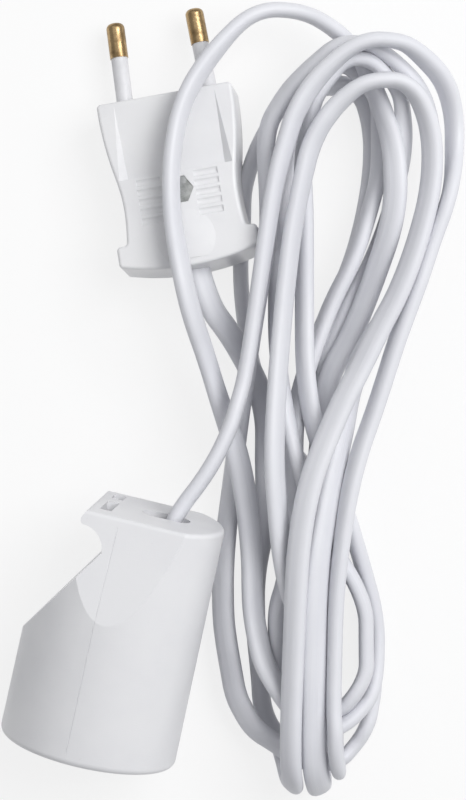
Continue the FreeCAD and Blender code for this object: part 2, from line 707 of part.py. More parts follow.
# The hank's stations, read off the photograph in its own frame: x, y and the height of the cord's axis.
# A bend follows the circle through its neighbours, up and down run along the length with a lean to the
# right, and a crown runs sideways.
hank_stations = (
    # first loop, in front: up its left side, over and down its right side
    ("bend", 30, 60, 22),
    ("up", 34.2, 91, 22.5, 0.16),
    ("bend", 40.5, 113, 22.5),
    ("crown", 58.5, 127.5, 20.5),
    ("down", 74.5, 106.5, 14),
    ("bend", 53, 34.5, 22),
    ("bend", 49, 14.5, 22),
    ("down", 48, -14, 22, 0.02),
    ("down", 48, -23, 21.5),
    # lower fold, then back up on the floor side
    ("crown", 48.5, -28.5, 16.5),
    ("up", 48.5, -24, 11.5),
    ("bend", 50, 6.5, 8.5),
    ("bend", 47, 28, 7),
    ("bend", 48.5, 57, 7),
    # its crown and the ring that lies third from the floor
    ("bend", 62.5, 91, 10),
    ("up", 63.5, 107, 12.5),
    ("crown", 53, 121, 17),
    ("bend", 41.5, 106, 17),
    ("down", 41, 86, 17),
    ("bend", 44, 41, 17),
    ("bend", 51.5, 21, 15),
    ("down", 57.5, -3.5, 12),
    ("bend", 54, -17, 15),
    # bottom of the ring and up over the plug
    ("crown", 44, -23.5, 16.5),
    ("up", 30, 9.5, 12),
    ("bend", 21, 54.5, 17),
    ("bend", 16, 73, 23.5),
    ("up", 12.5, 95.5, 21.5),
    ("bend", 18, 119.5, 18.5),
    # crown on the left and down the right side to the lowest fold
    ("crown", 36.5, 134, 13.5),
    ("bend", 51, 126.5, 11.5),
    ("bend", 56.5, 116, 12),
    ("down", 60, 97.5, 17),
    ("bend", 53, 66.5, 12),
    ("bend", 46, 52.5, 12),
    ("bend", 44.5, 41, 12),
    ("bend", 43.5, 19, 9.5),
    ("bend", 45, -5, 4),
    # lowest fold and up in front
    ("down", 44, -26, 2.5),
    ("crown", 44.5, -34.5, 12),
    ("up", 43, -23.5, 21.5),
    ("bend", 45.5, 25, 22),
    ("bend", 49.5, 41, 21.5),
    ("bend", 54, 53, 17.5),
    # upper right belly, crown and down the left side
    ("up", 69, 102.5, 12.5),
    ("bend", 64, 120.5, 16),
    ("crown", 51.5, 126.5, 16.5),
    ("down", 34, 87, 17),
    ("bend", 29.5, 63.5, 15.5),
    ("bend", 26.5, 40, 8.5),
    # bottom arc of the wide ring on the floor, then up beside the plug
    ("down", 23.5, 6, 7.5),
    ("crown", 41.5, -27.5, 8),
    ("bend", 53.5, -25, 6.5),
    ("up", 58, -6, 5),
    ("bend", 52, 20, 2.5),
    ("bend", 32.5, 49.5, 2.5),
    ("up", 29, 93, 2.6),
    # crown, down and into the middle bottom arc
    ("bend", 39.5, 121, 7),
    ("crown", 48, 125, 7),
    ("bend", 55, 118, 7),
    ("down", 57, 104, 7.5),
    ("bend", 46, 66, 12.5),
    ("bend", 40, 50, 12),
    ("bend", 38.5, 28, 12),
    ("bend", 37.5, 13, 11.5),
    # middle bottom arc and up again
    ("down", 35, -1.5, 14),
    ("crown", 44.5, -17, 16.5),
    ("up", 54, -2.5, 16.5),
    ("bend", 40.5, 33, 17),
    ("bend", 36.5, 50.5, 16.5),
    # low crown and down to the short fold
    ("up", 35, 66, 14),
    ("bend", 37.5, 95, 6.5),
    ("crown", 50, 118.5, 3),
    ("down", 56, 105.5, 2.5),
    ("bend", 44.5, 64.5, 7),
    ("bend", 40, 49.5, 7.2),
    # short fold, then up in front
    ("down", 38.5, -4, 6.5),
    ("crown", 40, -8.5, 11.5),
    ("up", 41, -3.5, 16.5),
    ("bend", 36.5, 12, 17.5),
    ("bend", 34.5, 28.5, 22),
    ("bend", 36.5, 67.5, 22),
    # last crown, down its right side to the fold by the socket
    ("bend", 40, 91, 22),
    ("crown", 58, 118, 22),
    ("down", 68.5, 102, 18.5),
    ("bend", 54, 61.5, 22),
    ("bend", 45, 42.5, 22),
    ("down", 37.5, -23, 22, 0.03),
    # fold by the socket and up to the plug's lead
    ("crown", 38, -33.5, 12),
    ("up", 36, -25.5, 2.5, 0.28),
    ("bend", 32, -11.5, 3.5),
    ("up", 30.5, 6, 5),
    ("bend", 32.5, 28, 7),
    ("bend", 32.3, 38, 7),
)
socket_lead_bends = ((25.0, 40.0, 24.5),)
plug_lead_bends = ((25.5, 62.5, 9),)


def station_ways(points):
    """The cord's direction at each station."""
    ways = []
    for i in range(len(points)):
        if i == 0 or i == len(points) - 1:
            near = points[min(i + 1, len(points) - 1)] - points[max(i - 1, 0)]
            ways.append(near.normalize())
            continue
        kind = hank_stations[i][0]
        back = points[i] - points[i - 1]
        ahead = points[i + 1] - points[i]
        circle = (back * (ahead.Length / back.Length) + ahead * (back.Length / ahead.Length)).normalize()
        if kind == "bend":
            ways.append(circle)
        elif kind == "crown":
            chord = points[i + 1] - points[i - 1]
            ways.append(Vector(chord.x, 0, chord.z).normalize())
        else:
            up = 1 if kind == "up" else -1
            lean = hank_stations[i][4] if len(hank_stations[i]) > 4 else 0
            climb = belly_climb * circle.z if abs(circle.z) <= steep else 0
            ways.append(Vector(lean * up, up, climb).normalize())
    return ways


def hank_edges():
    """Between two stations run two arcs that meet in a common direction."""
    points = [Vector(*s[1:4]) for s in hank_stations]
    ways = station_ways(points)
    edges = [Part.makeLine(points[0] - ways[0] * 2 * cord_r, points[0])]
    radii = []
    for i in range(len(points) - 1):
        gap = points[i + 1] - points[i]
        both = ways[i] + ways[i + 1]
        c = 2 * (1 - ways[i] * ways[i + 1])
        if c < 0.000001:
            reach = gap * gap / (4 * (gap * ways[i + 1]))
        else:
            reach = (math.sqrt((gap * both) ** 2 + c * (gap * gap)) - gap * both) / c
        first = points[i] + ways[i] * reach
        last = points[i + 1] - ways[i + 1] * reach
        middle = (first + last) / 2
        for a, corner, b in ((points[i], first, middle), (middle, last, points[i + 1])):
            arc, r = turn_arc(a, corner, b)
            edges.append(arc)
            if r:
                radii.append(r)
    edges.append(Part.makeLine(points[-1], points[-1] + ways[-1] * 2 * cord_r))
    return edges, radii


def places_along(edges, step):
    """Points along the edges, about one step apart."""
    line = []
    for edge in edges:
        count = max(2, int(edge.Length / step) + 1)
        line.extend((p.x, p.y, p.z) for p in edge.discretize(count)[:-1])
    return line


def least_gap(line, skip):
    """The least open gap between two places of the tube that lie further apart along it than skip."""
    run = [0.0]
    for i in range(1, len(line)):
        run.append(run[-1] + math.dist(line[i - 1], line[i]))
    cells = {}
    for i, p in enumerate(line):
        cells.setdefault(cell_of(p), []).append(i)
    best = 99.0
    for i, p in enumerate(line):
        for cell in neighbours(cell_of(p)):
            for j in cells.get(cell, ()):
                if j > i and run[j] - run[i] > skip:
                    best = min(best, math.dist(p, line[j]))
    return best - 2 * cord_r


def cell_of(p):
    return tuple(int(part // gap_cell) for part in p)


def neighbours(home):
    steps = [(a, b, c) for a in (-1, 0, 1) for b in (-1, 0, 1) for c in (-1, 0, 1)]
    return [(home[0] + a, home[1] + b, home[2] + c) for a, b, c in steps]


def socket_lead_edges(start, way):
    exit_way = socket_place.Rotation.multVec(Vector(0, 0, 1))
    inner = socket_place.multVec(Vector(cord_w, 0, socket_sheath_end))
    outer = socket_place.multVec(Vector(cord_w, 0, socket_len)) + exit_way * socket_lead_out
    bends = [Vector(*p) for p in socket_lead_bends]
    return bent([inner, outer] + bends + [start - way * socket_lead_in, start])


def plug_lead_edges(start, way):
    exit_way = plug_place.Rotation.multVec(Vector(0, 0, 1))
    inner = plug_place.multVec(Vector(0, 0, sheath_end))
    outer = plug_place.multVec(Vector(0, 0, flange_top)) + exit_way * plug_lead_out
    bends = [Vector(*p) for p in plug_lead_bends]
    return bent([inner, outer] + bends + [start + way * plug_lead_in, start])


def socket_core(side):
    top = contact_top + block_high
    away = side * pin_spread
    near = cord_w + side * core_off
    points = [Vector(near, 0, socket_sheath_end), Vector(near, 0, socket_sheath_end - core_straight)]
    points.append(Vector(away, 0, top + core_straight))
    points.append(Vector(away, 0, contact_top + block_high / 2))
    edges, radii = bent(points)
    return tube("socket core", edges, core_r, radii)


def plug_core(side):
    way = pin_way(-side)
    block = Vector(side * pin_spread, 0, 0) - way * pin_block_end
    at_cord, at_block = plug_core_straight
    points = [Vector(side * core_off, 0, sheath_end), Vector(side * core_off, 0, sheath_end - at_cord)]
    points.append(Vector(side * plug_core_wide, 0, nut_at - plug_core_turn))
    points.append(block - way * at_block)
    points.append(block + way * (pin_block_end - pin_screw_at))
    edges, radii = bent(points)
    return tube("plug core", edges, core_r, radii)


save("socket_housing", socket_housing(), socket_place)
save("socket_face_plate", face_plate(), socket_place)
save("socket_shutter", shutter(), socket_place)
save("contact_carrier", contact_carrier(), socket_place)
save("contact_sleeve_left", contact_sleeve(-pin_spread), socket_place)
save("contact_sleeve_right", contact_sleeve(pin_spread), socket_place)
save("socket_terminal_screws", socket_terminal_screws(), socket_place)
save("socket_cord_clamp", socket_cord_clamp(), socket_place)
save("socket_clamp_screws", socket_clamp_screws(), socket_place)
save("socket_line_core", socket_core(-1), socket_place)
save("socket_neutral_core", socket_core(1), socket_place)
save("plug_front_shell", plug_front_shell(), plug_place)
save("plug_back_shell", plug_back_shell(), plug_place)
save("plug_pin_left", plug_pin(-pin_spread, 1), plug_place)
save("plug_pin_right", plug_pin(pin_spread, -1), plug_place)
save("pin_sleeve_left", pin_sleeve(-pin_spread, 1), plug_place)
save("pin_sleeve_right", pin_sleeve(pin_spread, -1), plug_place)
save("plug_terminal_screws", plug_terminal_screws(), plug_place)
save("plug_cord_clamp", plug_cord_clamp(), plug_place)
save("plug_clamp_screws", plug_clamp_screws(), plug_place)
save("plug_assembly_screw", plug_assembly_screw(), plug_place)
save("plug_nut", plug_nut(), plug_place)
save("plug_line_core", plug_core(-1), plug_place)
save("plug_neutral_core", plug_core(1), plug_place)
hank_route, hank_radii = hank_edges()
first_edge = hank_route[0]
last_edge = hank_route[-1]
hank_start = first_edge.valueAt(first_edge.FirstParameter)
hank_end = last_edge.valueAt(last_edge.LastParameter)
lead_a, lead_a_radii = socket_lead_edges(hank_start, first_edge.tangentAt(0))
lead_b, lead_b_radii = plug_lead_edges(hank_end, last_edge.tangentAt(0))
hank_places = places_along(hank_route, gap_step)
print("hank: %d arcs, least gap %.2f" % (len(hank_radii), least_gap(hank_places, gap_skip)))
whole = places_along(lead_a + hank_route, gap_step) + places_along(lead_b, gap_step)[::-1]
print("whole cord: least gap %.2f" % least_gap(whole, gap_skip))
save("cord_hank", tube("hank", hank_route, cord_r, hank_radii))
save("socket_lead", tube("socket lead", lead_a, cord_r, lead_a_radii))
save("plug_lead", tube("plug lead", lead_b, cord_r, lead_b_radii))
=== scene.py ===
import math
import bpy
import numpy as np
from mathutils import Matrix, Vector


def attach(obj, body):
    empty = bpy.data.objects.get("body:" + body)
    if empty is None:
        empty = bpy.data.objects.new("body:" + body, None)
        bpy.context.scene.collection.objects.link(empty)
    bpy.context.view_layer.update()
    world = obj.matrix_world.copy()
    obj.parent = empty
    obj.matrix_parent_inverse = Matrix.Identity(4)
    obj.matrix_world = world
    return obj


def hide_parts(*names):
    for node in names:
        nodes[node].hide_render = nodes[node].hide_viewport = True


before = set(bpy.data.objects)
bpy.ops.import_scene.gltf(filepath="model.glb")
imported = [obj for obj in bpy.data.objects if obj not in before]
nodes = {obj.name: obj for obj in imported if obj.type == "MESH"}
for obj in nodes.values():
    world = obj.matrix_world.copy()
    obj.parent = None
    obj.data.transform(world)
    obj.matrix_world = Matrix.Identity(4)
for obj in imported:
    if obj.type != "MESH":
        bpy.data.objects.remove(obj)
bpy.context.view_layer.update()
print("frame loaded, %d nodes" % len(nodes))

# Camera: straight down on the table, its upper edge towards +Y
shot = {
    "place": (0.0257, 0.0496, 0.700),
    "lens": 143.3,                   # on a 36 mm sensor whose long side is the picture's height
    "sensor": 36.0,
}
cameraData = bpy.data.cameras.new("shotCamera")
cameraData.lens = shot["lens"]
cameraData.sensor_width = shot["sensor"]
camera = bpy.data.objects.new("shotCamera", cameraData)
camera.location = shot["place"]
bpy.context.scene.collection.objects.link(camera)
bpy.context.scene.camera = camera
bpy.context.scene.view_settings.view_transform = "Standard"
print("camera placed")


# Materials

class Wire:
    # One output of a node. The usual signs on it add Math nodes: wire * 2 + other, 1 - wire.
    def __init__(self, board, socket):
        self.board = board
        self.socket = socket

    def __add__(self, other):
        return self.board.worked("ADD", self, other)

    def __radd__(self, other):
        return self.board.worked("ADD", other, self)

    def __sub__(self, other):
        return self.board.worked("SUBTRACT", self, other)

    def __rsub__(self, other):
        return self.board.worked("SUBTRACT", other, self)

    def __mul__(self, other):
        return self.board.worked("MULTIPLY", self, other)

    def __rmul__(self, other):
        return self.board.worked("MULTIPLY", other, self)

    def ramp(self, edges, first=0.0, last=1.0):
        # goes smoothly from first to last while this value goes from the lower edge to the upper
        return self.board.add("ShaderNodeMapRange", {"interpolation_type": "SMOOTHSTEP"},
                              {"Value": self, "From Min": edges[0], "From Max": edges[1],
                               "To Min": first, "To Max": last})


class Board:
    # The nodes of one material or of the world
    def __init__(self, owner, output="ShaderNodeOutputMaterial"):
        owner.use_nodes = True
        self.owner = owner
        self.tree = owner.node_tree
        self.tree.nodes.clear()
        self.output = self.tree.nodes.new(output)

    def add(self, kind, settings=None, values=None, out=0):
        # a new node: its settings go first, then the values or links of its sockets
        node = self.tree.nodes.new(kind)
        for name, value in (settings or {}).items():
            setattr(node, name, value)
        for name, value in (values or {}).items():
            if isinstance(value, Wire):
                self.tree.links.new(value.socket, node.inputs[name])
            else:
                node.inputs[name].default_value = value
        return Wire(self, node.outputs[out])

    def worked(self, operation, value, second=0.0):
        # a Math node; a sine, a cosine and an absolute value take no second value
        return self.add("ShaderNodeMath", {"operation": operation}, {0: value, 1: second})

    def place(self):
        # metres in the part's own frame
        return self.add("ShaderNodeTexCoord", out="Object")

    def ray(self, kind):
        # 1 for rays of this kind and 0 for the rest
        return self.add("ShaderNodeLightPath", out="Is %s Ray" % kind)

    def along(self, name, part):
        # one part of a UV map: X or Y
        found = self.add("ShaderNodeUVMap", {"uv_map": name})
        return self.add("ShaderNodeSeparateXYZ", values={0: found}, out=part)

    def noise(self, scale, detail=(3.0, 0.5), where=None):
        # detail holds how many finer layers the noise has and how strong they are
        return self.add("ShaderNodeTexNoise",
                        values={"Vector": where or self.place(), "Scale": scale,
                                "Detail": detail[0], "Roughness": detail[1]})

    def stretched(self, turn, size=(1, 1, 1)):
        # object coordinates drawn out by a different amount on each axis, then turned
        return self.add("ShaderNodeMapping",
                        values={"Vector": self.place(), "Rotation": turn, "Scale": size})

    def mixed(self, share, first, second):
        # two colours blended by the share
        return self.add("ShaderNodeMix", {"data_type": "RGBA"},
                        {0: share, 6: first, 7: second}, out=2)

    def bumped(self, height, depth, normal=None):
        # relief of height times depth in metres, on top of another where one is given
        values = {"Height": height, "Distance": depth, "Strength": 1.0}
        if normal is not None:
            values["Normal"] = normal
        return self.add("ShaderNodeBump", values=values)

    def close(self, shader):
        # the shader goes to the output, and what the board belongs to comes back
        self.tree.links.new(shader.socket, self.output.inputs["Surface"])
        return self.owner

    def surfaced(self, values):
        return self.close(self.add("ShaderNodeBsdfPrincipled", values=values))


def newBoard(name):
    # a board for a new material
    return Board(bpy.data.materials.new(name))


# cloud and grain are scales of noise, depth is the grain's relief in metres, rough is the least
# and the most, and specks is the share of dust
plastic = {
    "housingWhite": {"colour": (0.80, 0.80, 0.815, 1), "shade": (0.765, 0.765, 0.785, 1),
                     "dust": (0.62, 0.61, 0.60, 1), "cloud": 45.0, "grain": 5200.0,
                     "depth": 0.000012, "rough": (0.34, 0.46), "specks": 0.16},
    "plugWhite": {"colour": (0.81, 0.81, 0.82, 1), "shade": (0.775, 0.775, 0.79, 1),
                  "dust": (0.60, 0.59, 0.58, 1), "cloud": 70.0, "grain": 6400.0,
                  "depth": 0.000010, "rough": (0.30, 0.42), "specks": 0.12},
    "innerWhite": {"colour": (0.72, 0.72, 0.71, 1), "shade": (0.66, 0.66, 0.65, 1),
                   "dust": (0.5, 0.5, 0.49, 1), "cloud": 90.0, "grain": 4000.0,
                   "depth": 0.00002, "rough": (0.5, 0.62), "specks": 0.1},
    "sleeveGrey": {"colour": (0.76, 0.76, 0.78, 1), "shade": (0.69, 0.69, 0.71, 1),
                   "dust": (0.45, 0.44, 0.42, 1), "cloud": 160.0, "grain": 7000.0,
                   "depth": 0.000008, "rough": (0.36, 0.5), "specks": 0.2},
}
mould = {
    "cloudDetail": (4.0, 0.55),
    "grainDetail": (2.0, 0.6),
    "speckDetail": (1.0, 0.5),
    "rubDetail": (2.0, 0.5),
    "cloudEdges": (0.38, 0.68),      # where the clouds go from the colour to its shade
    "roughEdges": (0.35, 0.70),
    "speckSize": 1500.0,
    "speckEdges": (0.74, 0.80),
    "rubStretch": (300.0, 2600.0, 700.0),
    "rubTurn": (0.3, 0.2, 0.9),
    "rubDullEdges": (0.60, 0.72),
    "rubDull": 0.10,
    "rubEdges": (0.60, 0.74),
    "rubDepth": 0.000006,
    "ior": 1.46,
}


def mouldedPlastic(name):
    # Colour is the tint clouded towards its shade by broad noise, with rare dust specks.
    # Roughness follows the clouds, and is higher on a few long faint rubs. Relief is fine mould
    # grain and the same rubs.
    look = plastic[name]
    board = newBoard(name)
    cloud = board.noise(look["cloud"], mould["cloudDetail"])
    grain = board.noise(look["grain"], mould["grainDetail"])
    rubPlace = board.stretched(mould["rubTurn"], mould["rubStretch"])
    rub = board.noise(1.0, mould["rubDetail"], rubPlace)
    speck = board.noise(mould["speckSize"], mould["speckDetail"]).ramp(mould["speckEdges"])
    colour = board.mixed(cloud.ramp(mould["cloudEdges"]), look["colour"], look["shade"])
    colour = board.mixed(speck * look["specks"], colour, look["dust"])
    rough = cloud.ramp(mould["roughEdges"], *look["rough"])
    rough = rough + rub.ramp(mould["rubDullEdges"]) * mould["rubDull"]
    relief = board.bumped(grain, look["depth"])
    relief = board.bumped(rub.ramp(mould["rubEdges"]), mould["rubDepth"], relief)
    return board.surfaced({"Base Color": colour, "Roughness": rough, "Normal": relief,
                           "IOR": mould["ior"]})


# rings is radians of their wave in a metre, and tilt is how many degrees the axis that they go
# round leans from +Z towards +Y
metal = {
    "brass": {"colour": (0.48, 0.34, 0.18, 1), "dark": (0.24, 0.16, 0.08, 1),
              "rough": (0.22, 0.42), "rings": 5200.0, "tilt": 83},
    "steel": {"colour": (0.56, 0.57, 0.56, 1), "dark": (0.30, 0.31, 0.30, 1),
              "rough": (0.30, 0.5), "rings": 3600.0, "tilt": -7},
}
turned = {
    "tarnishSize": 420.0,
    "tarnishDetail": (5.0, 0.6),
    "tarnishEdges": (0.40, 0.72),
    "roughEdges": (0.35, 0.70),
    "waver": 3,                      # radians by which the tarnish moves the rings' wave
    "ringDepth": 0.000004,
    "pitSize": 3000.0,
    "pitDepth": 0.000012,
}


def turnedMetal(name):
    # Colour goes from bright to tarnished with broad noise. Fine rings round the turned axis rise
    # and fall as a sine of the place along it, and roughness is higher where the tarnish is.
    look = metal[name]
    board = newBoard(name)
    tarnish = board.noise(turned["tarnishSize"], turned["tarnishDetail"])
    tilted = board.stretched((math.radians(look["tilt"]), 0, 0))
    along = board.add("ShaderNodeSeparateXYZ", values={0: tilted}, out=2)
    rings = board.worked("SINE", along * look["rings"] + tarnish * turned["waver"])
    colour = board.mixed(tarnish.ramp(turned["tarnishEdges"]), look["colour"], look["dark"])
    rough = tarnish.ramp(turned["roughEdges"], *look["rough"])
    relief = board.bumped(rings, turned["ringDepth"])
    relief = board.bumped(board.noise(turned["pitSize"]), turned["pitDepth"], relief)
    return board.surfaced({"Base Color": colour, "Roughness": rough, "Normal": relief,
                           "Metallic": 1.0})


core = {
    "coreBrown": {"colour": (0.16, 0.07, 0.03, 1), "shade": (0.11, 0.05, 0.02, 1)},
    "coreBlue": {"colour": (0.03, 0.10, 0.34, 1), "shade": (0.02, 0.07, 0.25, 1)},
}
coreGrain = {
    "cloud": 300.0,
    "cloudEdges": (0.4, 0.65),
    "roughEdges": (0.3, 0.7),
    "rough": (0.38, 0.52),
    "grain": 5000.0,
    "depth": 0.00001,
}


def coreSheath(name):
    # A core's thin sheath: two tints in soft clouds and a fine extruded grain.
    board = newBoard(name)
    cloud = board.noise(coreGrain["cloud"])
    colour = board.mixed(cloud.ramp(coreGrain["cloudEdges"]), core[name]["colour"],
                         core[name]["shade"])
    rough = cloud.ramp(coreGrain["roughEdges"], *coreGrain["rough"])
    relief = board.bumped(board.noise(coreGrain["grain"]), coreGrain["depth"])
    return board.surfaced({"Base Color": colour, "Roughness": rough, "Normal": relief})


sheath = {
    "colour": (0.745, 0.75, 0.785, 1),
    "shade": (0.705, 0.71, 0.75, 1),
    # the groove colour is painted shade: a darker, bluer tint laid into the dip between the cores
    "groove": (0.66, 0.665, 0.73, 1),
    "grooveShadeEdges": (0.05, 0.22),
    "grooveShadeShare": 0.12,
    "rough": (0.40, 0.54),
    "roughEdges": (0.35, 0.70),
    "cloud": 38.0,
    "cloudEdges": (0.36, 0.66),
    "linesAlong": 30,                # the drawing lines' fineness along the cord and round it
    "linesRound": 9,
    "linesDetail": (3.0, 0.6),
    "linesDull": 0.12,
    "linesDepth": 0.00005,
    "grain": 4200.0,
    "grainDetail": (2.0, 0.5),
    "grainDepth": 0.000012,
    "ior": 1.47,
}


def flexSheath():
    # The "flex" map has metres along the cord in X and the share of the way round in Y.
    # Lengthwise drawing lines are noise on (along, cosine, sine of the way round), so they close.
    # The groove lies a quarter and three quarters of the way round and gets painted shade there,
    # a darker, bluer tint. Soft clouds change the tint and the roughness every few centimetres.
    board = newBoard("flexWhite")
    run = board.along("flex", 0)
    way = board.along("flex", 1) * (2 * math.pi)
    cosine = board.worked("COSINE", way)
    sine = board.worked("SINE", way)
    ringPlace = board.add("ShaderNodeCombineXYZ",
                          values={0: run * sheath["linesAlong"], 1: cosine * sheath["linesRound"],
                                  2: sine * sheath["linesRound"]})
    lines = board.noise(1.0, sheath["linesDetail"], ringPlace)
    cloud = board.noise(sheath["cloud"])
    groove = board.worked("ABSOLUTE", cosine).ramp(sheath["grooveShadeEdges"], 1.0, 0.0)
    colour = board.mixed(cloud.ramp(sheath["cloudEdges"]), sheath["colour"], sheath["shade"])
    # painted shade: the groove between the cores is mixed towards its darker, bluer colour
    colour = board.mixed(groove * sheath["grooveShadeShare"], colour, sheath["groove"])
    rough = cloud.ramp(sheath["roughEdges"], *sheath["rough"])
    rough = rough + (lines - 0.5) * sheath["linesDull"]    # the lines' noise is about 0.5
    grain = board.noise(sheath["grain"], sheath["grainDetail"])
    relief = board.bumped(lines, sheath["linesDepth"])
    relief = board.bumped(grain, sheath["grainDepth"], relief)
    return board.surfaced({"Base Color": colour, "Roughness": rough, "Normal": relief,
                           "IOR": sheath["ior"]})


finishes = {name: mouldedPlastic(name) for name in plastic}
finishes.update({name: turnedMetal(name) for name in metal})
finishes.update({name: coreSheath(name) for name in core})
finishes["flexWhite"] = flexSheath()
print("%d finishes made" % len(finishes))

dressing = {
    "housingWhite": ("socket_housing", "socket_face_plate"),
    "plugWhite": ("plug_front_shell", "plug_back_shell"),
    "innerWhite": ("socket_shutter", "contact_carrier", "socket_cord_clamp", "plug_cord_clamp"),
    "sleeveGrey": ("pin_sleeve_left", "pin_sleeve_right"),
    "brass": ("contact_sleeve_left", "contact_sleeve_right", "plug_pin_left", "plug_pin_right"),
    "steel": ("socket_terminal_screws", "socket_clamp_screws", "plug_terminal_screws",
              "plug_clamp_screws", "plug_assembly_screw", "plug_nut"),
    "coreBrown": ("socket_line_core", "plug_line_core"),
    "coreBlue": ("socket_neutral_core", "plug_neutral_core"),
    "flexWhite": ("socket_lead", "cord_hank", "plug_lead"),
}
for finish, members in dressing.items():
    for member in members:
        nodes[member].data.materials.clear()
        nodes[member].data.materials.append(finishes[finish])
print("nodes dressed")

# The flex: one flat two-core cord from the socket to the plug
flex = {
    "wide": 0.0053,
    "thick": 0.0033,
    "groove": 0.018,                 # share of the thickness that the dip between the cores takes
    "grooveWide": 0.00050,
    "gather": 0.25,                  # how far the points round the section draw together at it
    "square": 0.86,                  # power of the section's sine and cosine: 1 is an ellipse
    "around": 36,
    "steps": 9,
    "climb": 0.6,                    # share of its neighbours' climb that a belly keeps
    "steep": 0.35,                   # above this climb a belly runs level
    "upright": 0.75,                 # above this climb a station's turn isn't read
    "window": 0.02,                  # share of the line on each side that a station looks at
    "endRoom": 2,                    # how many stations' room each end of the line takes
    "socketEnd": ((0.00927, 0.01424, 0.02536), (0.0124, 0.0240, 0.0269),
                  (0.0203, 0.0339, 0.0266), (0.0249, 0.0429, 0.0249), (0.0266, 0.0486, 0.0234)),
    "plugEnd": ((0.0261, 0.0628, 0.0090), (0.0192, 0.0714, 0.01364),
                (0.01577, 0.0883, 0.01151)),
    "socketTail": 0.0060,
    "plugTail": 0.0112,
    "exit": (0.01164, 0.02496, 0.0270),
    "length": 2.42,
}

